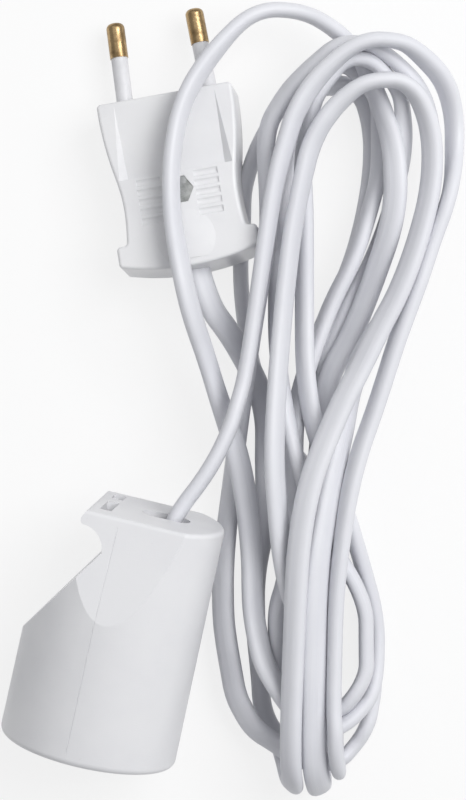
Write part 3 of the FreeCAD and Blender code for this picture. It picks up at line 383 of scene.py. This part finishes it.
# Stations of the hank, in the cord's order. Each says how the cord runs there, x, y, the
# height of its axis, a belly's lean to the right, and the degrees that its flat section is
# turned on edge.
stations = (
    # first loop, in front: up its left side, over and down its right side
    ("bend", 0.02911, 0.06012, 0.022, 0, 85),
    ("up", 0.03384, 0.091, 0.0225, 0.16, 65),
    ("bend", 0.03651, 0.10278, 0.0225, 0, 57),
    ("bend", 0.04031, 0.11309, 0.0228, 0, 55),
    ("crown", 0.05836, 0.12622, 0.0233, 0, 90),
    ("bend", 0.06823, 0.12091, 0.02, 0, 55),
    ("down", 0.07342, 0.1065, 0.014, 0, 60),
    ("bend", 0.0717, 0.09239, 0.0185, 0, 85),
    ("bend", 0.06882, 0.08432, 0.0195, 0, 82),
    ("bend", 0.06502, 0.07367, 0.0205, 0, 72),
    ("bend", 0.06173, 0.06516, 0.021, 0, 66),
    ("bend", 0.05659, 0.0496, 0.0215, 0, 68),
    ("bend", 0.05171, 0.03485, 0.022, 0, 65),
    ("bend", 0.04832, 0.01457, 0.022, 0, 75),
    ("down", 0.04715, -0.01394, 0.0226, 0.02, 90),
    ("down", 0.04739, -0.02277, 0.0237, 0, 90),
    # lower fold, then back up on the floor side
    ("crown", 0.04826, -0.02922, 0.0169, 0, 75),
    ("up", 0.04797, -0.02424, 0.0102, 0, 80),
    ("up", 0.04757, -0.01862, 0.0102, 0, 80),
    ("bend", 0.04715, 0.00627, 0.01, 0, 75),
    ("bend", 0.04697, 0.02803, 0.008, 0, 70),
    ("bend", 0.04669, 0.06001, 0.007, 0, 75),
    ("bend", 0.05144, 0.0712, 0.0075, 0, 75),
    ("bend", 0.05503, 0.07817, 0.0075, 0, 75),
    # its crown and the ring that lies third from the floor
    ("bend", 0.05993, 0.09119, 0.01, 0, 70),
    ("up", 0.06248, 0.10692, 0.0134, 0, 62),
    ("bend", 0.05983, 0.11796, 0.0164, 0, 80),
    ("crown", 0.05245, 0.12269, 0.0183, 0, 85),
    ("bend", 0.04443, 0.11598, 0.018, 0, 78),
    ("bend", 0.04149, 0.10597, 0.0174, 0, 70),
    ("down", 0.041, 0.086, 0.017, 0, 60),
    ("bend", 0.044, 0.041, 0.017, 0, 60),
    ("bend", 0.05153, 0.02097, 0.0142, 0, 75),
    ("down", 0.05683, -0.00358, 0.011, 0, 80),
    ("bend", 0.05332, -0.01682, 0.0145, 0, 85),
    ("bend", 0.04888, -0.02027, 0.0163, 0, 82),
    # bottom of the ring and up over the plug
    ("bend", 0.04413, -0.02187, 0.0174, 0, 80),
    ("bend", 0.03993, -0.01867, 0.0184, 0, 70),
    ("bend", 0.03599, -0.0133, 0.0175, 0, 55),
    ("bend", 0.03279, -0.00776, 0.0158, 0, 45),
    ("bend", 0.03072, 2e-05, 0.0135, 0, 43),
    ("up", 0.02983, 0.00952, 0.0124, 0, 43),
    ("bend", 0.02749, 0.03388, 0.014, 0, 32),
    ("bend", 0.02123, 0.05455, 0.017, 0, 58),
    ("bend", 0.01569, 0.07294, 0.0235, 0, 52),
    ("up", 0.0125, 0.0955, 0.0215, 0, 68),
    ("bend", 0.01827, 0.11933, 0.0185, 0, 62),
    # crown on the left and down the right side to the lowest fold
    ("crown", 0.03651, 0.13381, 0.0128, 0, 90),
    ("bend", 0.05095, 0.12635, 0.0128, 0, 78),
    ("bend", 0.05645, 0.11588, 0.0132, 0, 60),
    ("down", 0.06055, 0.09751, 0.017, 0, 25),
    ("bend", 0.05259, 0.06663, 0.012, 0, 37),
    ("bend", 0.046, 0.0525, 0.012, 0, 37),
    ("bend", 0.0445, 0.041, 0.012, 0, 50),
    ("bend", 0.04328, 0.019, 0.0095, 0, 60),
    ("bend", 0.04501, -0.00502, 0.0038, 0, 40),
    # lowest fold and up in front
    ("down", 0.04458, -0.02772, 0.00235, 0, 40),
    ("crown", 0.04449, -0.03393, 0.012, 0, 0),
    ("up", 0.04289, -0.02347, 0.0218, 0, 0),
    ("bend", 0.04538, 0.025, 0.0216, 0, 35),
    ("bend", 0.04886, 0.04119, 0.0195, 0, 40),
    ("bend", 0.05167, 0.05411, 0.0165, 0, 40),
    ("bend", 0.06293, 0.07693, 0.0145, 0, 70),
    # upper right belly, crown and down the left side
    ("up", 0.069, 0.1025, 0.0125, 0, 65),
    ("bend", 0.06305, 0.11976, 0.0172, 0, 78),
    ("crown", 0.05144, 0.12612, 0.018, 0, 85),
    ("bend", 0.04092, 0.11956, 0.0176, 0, 70),
    ("bend", 0.03589, 0.11329, 0.017, 0, 62),
    ("down", 0.03331, 0.08691, 0.017, 0, 65),
    ("bend", 0.03171, 0.07514, 0.0164, 0, 68),
    ("bend", 0.02993, 0.06357, 0.0155, 0, 70),
    ("bend", 0.0265, 0.04, 0.0085, 0, 60),
    # bottom arc of the wide ring on the floor, then up beside the plug
    ("down", 0.0235, 0.006, 0.0075, 0, 38),
    ("bend", 0.02472, -0.00582, 0.0078, 0, 37),
    ("bend", 0.02757, -0.01714, 0.008, 0, 37),
    ("bend", 0.03076, -0.02199, 0.008, 0, 42),
    ("bend", 0.03417, -0.02449, 0.008, 0, 50),
    ("crown", 0.04266, -0.02885, 0.0078, 0, 60),
    ("bend", 0.04845, -0.02899, 0.0067, 0, 80),
    ("bend", 0.05234, -0.02553, 0.0057, 0, 85),
    ("bend", 0.05477, -0.02152, 0.006, 0, 88),
    ("bend", 0.0562, -0.01643, 0.0036, 0, 88),
    ("up", 0.05678, -0.0062, 0.003, 0, 90),
    ("bend", 0.05183, 0.01994, 0.0028, 0, 80),
    ("bend", 0.0325, 0.0495, 0.0028, 0, 80),
    ("bend", 0.02745, 0.07543, 0.0028, 0, 82),
    ("up", 0.028, 0.09228, 0.003, 0, 80),
    ("bend", 0.02963, 0.10088, 0.005, 0, 82),
    ("bend", 0.03288, 0.10808, 0.0076, 0, 80),
    # crown, down and into the middle bottom arc
    ("bend", 0.03961, 0.1174, 0.0079, 0, 80),
    ("crown", 0.04831, 0.12253, 0.0077, 0, 85),
    ("bend", 0.05497, 0.11792, 0.0078, 0, 80),
    ("down", 0.05757, 0.10396, 0.008, 0, 70),
    ("bend", 0.05324, 0.08416, 0.012, 0, 74),
    ("bend", 0.04545, 0.06644, 0.0125, 0, 70),
    ("bend", 0.03998, 0.05, 0.0129, 0, 60),
    ("bend", 0.03849, 0.02803, 0.0128, 0, 60),
    ("bend", 0.03748, 0.01306, 0.0126, 0, 60),
    # middle bottom arc and up again
    ("down", 0.03498, 0.00165, 0.0122, 0, 75),
    ("bend", 0.03824, -0.01398, 0.0112, 0, 78),
    ("crown", 0.04481, -0.01773, 0.016, 0, 78),
    ("bend", 0.04889, -0.01667, 0.0163, 0, 80),
    ("bend", 0.05175, -0.01364, 0.017, 0, 80),
    ("bend", 0.05379, -0.0098, 0.017, 0, 82),
    ("up", 0.05426, -0.00246, 0.017, 0, 85),
    ("bend", 0.04049, 0.03301, 0.0176, 0, 80),
    ("bend", 0.03648, 0.0505, 0.018, 0, 75),
    # low crown and down to the short fold
    ("up", 0.035, 0.066, 0.014, 0, 75),
    ("bend", 0.03753, 0.09512, 0.0046, 0, 80),
    ("crown", 0.04913, 0.1185, 0.0027, 0, 50),
    ("down", 0.05599, 0.10548, 0.0028, 0, 75),
    ("bend", 0.05146, 0.07986, 0.005, 0, 75),
    ("bend", 0.04474, 0.06472, 0.0075, 0, 75),
    ("bend", 0.03999, 0.0495, 0.0079, 0, 70),
    ("bend", 0.03856, 0.00122, 0.006, 0, 64),
    # short fold, then up in front
    ("down", 0.03824, -0.0041, 0.0052, 0, 60),
    ("crown", 0.04, -0.00847, 0.0118, 0, 45),
    ("up", 0.04123, -0.00334, 0.0185, 0, 45),
    ("bend", 0.03704, 0.01206, 0.0188, 0, 50),
    ("bend", 0.03498, 0.02851, 0.0222, 0, 50),
    ("bend", 0.03633, 0.06751, 0.022, 0, 58),
    # last crown, down its right side to the fold by the socket
    ("bend", 0.03949, 0.09154, 0.022, 0, 58),
    ("bend", 0.04088, 0.09814, 0.022, 0, 57),
    ("bend", 0.04209, 0.10282, 0.022, 0, 55),
    ("bend", 0.04569, 0.10979, 0.0226, 0, 60),
    ("crown", 0.05793, 0.11766, 0.0235, 0, 85),
    ("down", 0.06835, 0.102, 0.0185, 0, 47),
    ("bend", 0.06257, 0.07657, 0.022, 0, 45),
    ("bend", 0.05501, 0.06107, 0.023, 0, 37),
    ("bend", 0.04591, 0.04234, 0.0245, 0, 28),
    ("down", 0.03791, -0.0229, 0.023, 0.03, 45),
    # fold by the socket and up to the plug's lead
    ("crown", 0.03829, -0.03324, 0.012, 0, 45),
    ("up", 0.03621, -0.02657, 0.0029, -0.3, 60),
    ("bend", 0.03249, -0.01848, 0.0028, 0, 60),
    ("bend", 0.0315, -0.00991, 0.0032, 0, 60),
    ("up", 0.0305, 0.006, 0.005, 0, 50),
    ("bend", 0.03288, 0.028, 0.0074, 0, 40),
    ("bend", 0.03298, 0.03764, 0.0075, 0, 25),
)
kinds = np.array([station[0] for station in stations])
places = np.array([station[1:4] for station in stations])
leans = np.array([station[4] for station in stations])
turns = np.radians([station[5] for station in stations])
guard = {
    "divisor": 1e-9,                 # keeps a divisor from being zero
    "chord": 1e-12,                  # the same for a crown's chord
    "parallel": 1e-6,                # two ways with less between them count as parallel
    "repeat": 1e-6,                  # points nearer than this are one
}


def unit(rows):
    # each row divided by its length
    return rows / np.linalg.norm(rows, axis=-1, keepdims=True)


def stationWays():
    # A bend follows the circle through its neighbours:
    # back * |ahead| / |back| + ahead * |back| / |ahead|. A crown runs across, along its
    # neighbours' chord without y. Up and down run along y with their lean and a share of the
    # climb.
    ends = np.concatenate([places[:1], places, places[-1:]])
    back = ends[1:-1] - ends[:-2]
    ahead = ends[2:] - ends[1:-1]
    ratio = (np.linalg.norm(ahead, axis=1, keepdims=True)
             / np.maximum(np.linalg.norm(back, axis=1, keepdims=True), guard["divisor"]))
    ratio[0] = ratio[-1] = 1.0
    circle = unit(back * ratio + ahead / ratio)
    chord = (back + ahead) * (1, 0, 1)
    up = np.where(kinds == "up", 1.0, -1.0)
    climb = np.where(np.abs(circle[:, 2]) <= flex["steep"], circle[:, 2] * flex["climb"], 0.0)
    belly = unit(np.stack([leans * up, up, climb], axis=1))
    crown = unit(chord + (guard["chord"], 0, 0))
    ways = np.where((kinds == "crown")[:, None], crown, belly)
    return np.where((kinds == "bend")[:, None], circle, ways)


def routePoints():
    # The route's points lie on the ways through the stations. Between two stations p and q with
    # ways t and w they are p + d t and q - d w, so far along that the line between them is 2 d
    # long: d = (sqrt((v.s)^2 + c v.v) - v.s) / c, with v = q - p, s = t + w, c = 2 (1 - t.w).
    ways = stationWays()
    v = places[1:] - places[:-1]
    t = ways[:-1]
    w = ways[1:]
    c = 2 * (1 - (t * w).sum(1))
    vs = (v * (t + w)).sum(1)
    vv = (v * v).sum(1)
    parallel = vv / (4 * (v * w).sum(1))
    curved = (np.sqrt(vs ** 2 + c * vv) - vs) / np.maximum(c, guard["divisor"])
    d = np.where(c < guard["parallel"], parallel, curved)[:, None]
    pairs = np.stack([places[:-1] + d * t, places[1:] - d * w], axis=1).reshape(-1, 3)
    first = places[:1] - ways[:1] * flex["socketTail"]
    last = places[-1:] + ways[-1:] * flex["plugTail"]
    return np.concatenate([flex["socketEnd"], first, pairs, last, flex["plugEnd"]])


def smoothLine(points):
    # the points of a NURBS spline with these control points, without repeats
    curve = bpy.data.curves.new("flexLine", "CURVE")
    curve.dimensions = "3D"
    spline = curve.splines.new("NURBS")
    spline.points.add(len(points) - 1)
    weighted = np.concatenate([points, np.ones((len(points), 1))], axis=1)
    spline.points.foreach_set("co", weighted.ravel())
    spline.order_u = 3
    spline.use_endpoint_u = True
    spline.resolution_u = flex["steps"]
    holder = bpy.data.objects.new("flexLine", curve)
    mesh = bpy.data.meshes.new_from_object(holder)
    line = np.zeros(len(mesh.vertices) * 3)
    mesh.vertices.foreach_get("co", line)
    bpy.data.objects.remove(holder)
    bpy.data.meshes.remove(mesh)
    bpy.data.curves.remove(curve)
    line = line.reshape(-1, 3)
    fresh = np.linalg.norm(np.diff(line, axis=0), axis=1) > guard["repeat"]
    return line[np.concatenate([[True], fresh])]


def levelTurns(way, side):
    # Carrying the level side way to the next point without twist and measuring it against the
    # next point's own gives how far the level side way itself turns there.
    axis = np.cross(way[:-1], way[1:])
    cosine = (way[:-1] * way[1:]).sum(1, keepdims=True)
    carried = (side[:-1] * cosine + np.cross(axis, side[:-1])
               + axis * (axis * side[:-1]).sum(1, keepdims=True) / (1 + cosine))
    slip = np.arctan2((np.cross(carried, side[1:]) * way[1:]).sum(1),
                      (carried * side[1:]).sum(1))
    return np.concatenate([[0.0], np.cumsum(slip)])


def nearestPoints(line):
    # For each station, the nearest point of the line within a window round the share of the
    # line that the station's place in their row gives.
    gap = np.linalg.norm(line[None] - places[:, None], axis=2)
    lineShare = np.arange(len(line))[None] / len(line)
    row = np.arange(len(places))[:, None] + flex["endRoom"]
    rowShare = row / (len(places) + 2 * flex["endRoom"])
    far = np.abs(lineShare - rowShare) > flex["window"]
    return np.argmin(np.where(far, np.inf, gap), axis=1)


def sectionAxes(line):
    # The level side way is (ty, -tx, 0). The summed level turns tell it from a way that is
    # carried without twist. The wanted turn at each station, in the carried frame, is made
    # continuous by half turns, since the section is the same after one, and drawn between
    # stations by a smooth step of the length.
    way = unit(np.gradient(line, axis=0))
    flat = np.stack([way[:, 1], -way[:, 0], np.zeros(len(line))], axis=1)
    side = unit(flat + (0, guard["divisor"], 0))
    level = levelTurns(way, side)
    run = np.concatenate([[0.0], np.cumsum(np.linalg.norm(np.diff(line, axis=0), axis=1))])
    nearest = nearestPoints(line)
    sure = np.abs(way[nearest, 2]) < flex["upright"]
    spot = nearest[sure]
    wanted = np.unwrap(turns[sure] + level[spot], period=math.pi)
    between = np.clip(np.searchsorted(run[spot], run) - 1, 0, len(spot) - 2)
    part = np.clip((run - run[spot][between]) / np.diff(run[spot])[between], 0, 1)
    part = part * part * (3 - 2 * part)
    turn = wanted[between] * (1 - part) + wanted[between + 1] * part - level
    up = np.cross(way, side)
    across = side * np.cos(turn)[:, None] + up * np.sin(turn)[:, None]
    return run, across, np.cross(way, across)


def flexMesh(line):
    # Round the line goes a flat oval: half the width times the cosine to a power, and half the
    # thickness times the sine to the same power, each with its own sign. The thickness dips by a
    # bell of the place across in the middle, where the two cores meet, and the angle round the
    # oval is drawn together there: angle = s + gather * sin(2 s).
    run, across, over = sectionAxes(line)
    count = flex["around"]
    s = np.arange(count) * 2 * math.pi / count
    angle = s + flex["gather"] * np.sin(2 * s)
    x = np.sign(np.cos(angle)) * np.abs(np.cos(angle)) ** flex["square"] * flex["wide"] / 2
    y = np.sign(np.sin(angle)) * np.abs(np.sin(angle)) ** flex["square"] * flex["thick"] / 2
    y = y * (1 - flex["groove"] * np.exp(-(x / flex["grooveWide"]) ** 2))
    points = (line[:, None] + across[:, None] * x[None, :, None]
              + over[:, None] * y[None, :, None])
    rings = len(line)
    ring, place = np.meshgrid(np.arange(rings - 1), np.arange(count), indexing="ij")
    after = (place + 1) % count
    quads = np.stack([ring * count + place, ring * count + after, (ring + 1) * count + after,
                      (ring + 1) * count + place], axis=-1).reshape(-1, 4)
    runs = np.stack([run[ring], run[ring], run[ring + 1], run[ring + 1]], axis=-1)
    shares = np.stack([place, place + 1, place + 1, place], axis=-1) / count
    uv = np.stack([runs, shares], axis=-1).reshape(-1, 2)
    ends = [np.arange(count)[::-1], (rings - 1) * count + np.arange(count)]
    return points.reshape(-1, 3), quads, ends, uv


def meshPiece(name, points, quads, ends, uv, finish):
    # the quads' corners go first, then each end as one face
    mesh = bpy.data.meshes.new(name)
    corners = np.concatenate([quads.ravel()] + ends)
    sizes = np.concatenate([np.full(len(quads), 4), [len(end) for end in ends]]).astype(int)
    starts = np.concatenate([[0], np.cumsum(sizes)[:-1]])
    mesh.vertices.add(len(points))
    mesh.vertices.foreach_set("co", points.ravel())
    mesh.loops.add(len(corners))
    mesh.loops.foreach_set("vertex_index", corners.astype(np.int32))
    mesh.polygons.add(len(sizes))
    mesh.polygons.foreach_set("loop_start", starts.astype(np.int32))
    mesh.polygons.foreach_set("loop_total", sizes.astype(np.int32))
    layer = mesh.uv_layers.new(name="flex")
    full = np.concatenate([uv, np.zeros((len(corners) - len(uv), 2))])
    layer.data.foreach_set("uv", full.ravel())
    mesh.update(calc_edges=True)
    mesh.validate()
    smooth = np.concatenate([np.ones(len(quads)), np.zeros(len(ends))]).astype(bool)
    mesh.polygons.foreach_set("use_smooth", smooth)
    mesh.materials.append(finishes[finish])
    piece = bpy.data.objects.new(name, mesh)
    bpy.context.scene.collection.objects.link(piece)
    return piece


flexLine = smoothLine(routePoints())
flexCord = meshPiece("flex_cord", *flexMesh(flexLine), "flexWhite")
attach(flexCord, "cord_set")
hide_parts("socket_lead", "cord_hank", "plug_lead")
print("flex laid, %d rings" % len(flexLine))

# Table and light
white = (1, 1, 1, 1)
table = {
    "size": 3.0,
    "colour": (0.86, 0.86, 0.86, 1),
    "whiten": 0.80,                  # share of plain white that the camera sees in the table
}
sky = {
    "colour": (0.97, 0.98, 1.0, 1),
    "strength": 0.39,
}
lampAim = (0.026, 0.05, 0.01)        # the middle of the object
lamps = {
    "keyLamp": {"place": (0.38, 0.25, 0.64), "size": 0.50, "power": 4.3},
    "fillLamp": {"place": (-0.20, 0.45, 0.60), "size": 0.5, "power": 0.35},
}


def makeFloor():
    # A square on the table's level. For the camera, mirrors and glass it is mixed towards white
    # light, so that its shadows stay but the open floor is as white as the photograph's ground.
    half = table["size"] / 2
    corners = [(-half, -half, 0), (half, -half, 0), (half, half, 0), (-half, half, 0)]
    mesh = bpy.data.meshes.new("tableTop")
    mesh.from_pydata(corners, [], [(0, 1, 2, 3)])
    board = newBoard("tableWhite")
    seen = board.ray("Camera") + board.ray("Glossy") + board.ray("Transmission")
    share = board.worked("MINIMUM", seen, 1.0) * table["whiten"]
    paint = board.add("ShaderNodeBsdfDiffuse", values={"Color": table["colour"]})
    light = board.add("ShaderNodeEmission", values={"Color": white, "Strength": 1.0})
    board.close(board.add("ShaderNodeMixShader", values={0: share, 1: paint, 2: light}))
    mesh.materials.append(board.owner)
    floor = bpy.data.objects.new("tableTop", mesh)
    bpy.context.scene.collection.objects.link(floor)


def makeSky():
    # Even light for the object, and plain white where the camera looks past the floor, also
    # through glass
    world = bpy.data.worlds.new("studio")
    bpy.context.scene.world = world
    board = Board(world, "ShaderNodeOutputWorld")
    even = board.add("ShaderNodeBackground",
                     values={"Color": sky["colour"], "Strength": sky["strength"]})
    plain = board.add("ShaderNodeBackground", values={"Color": white, "Strength": 1.0})
    share = board.worked("MAXIMUM", board.ray("Camera"), board.ray("Transmission"))
    board.close(board.add("ShaderNodeMixShader", values={0: share, 1: even, 2: plain}))


def areaLamp(name):
    # a square soft lamp that looks at the middle of the object
    data = bpy.data.lights.new(name, "AREA")
    data.shape = "SQUARE"
    data.size = lamps[name]["size"]
    data.energy = lamps[name]["power"]
    lamp = bpy.data.objects.new(name, data)
    lamp.location = lamps[name]["place"]
    towards = Vector(lampAim) - Vector(lamps[name]["place"])
    lamp.rotation_euler = towards.to_track_quat("-Z", "Y").to_euler()
    bpy.context.scene.collection.objects.link(lamp)


makeFloor()
makeSky()
for lampName in lamps:
    areaLamp(lampName)
print("table and light set")
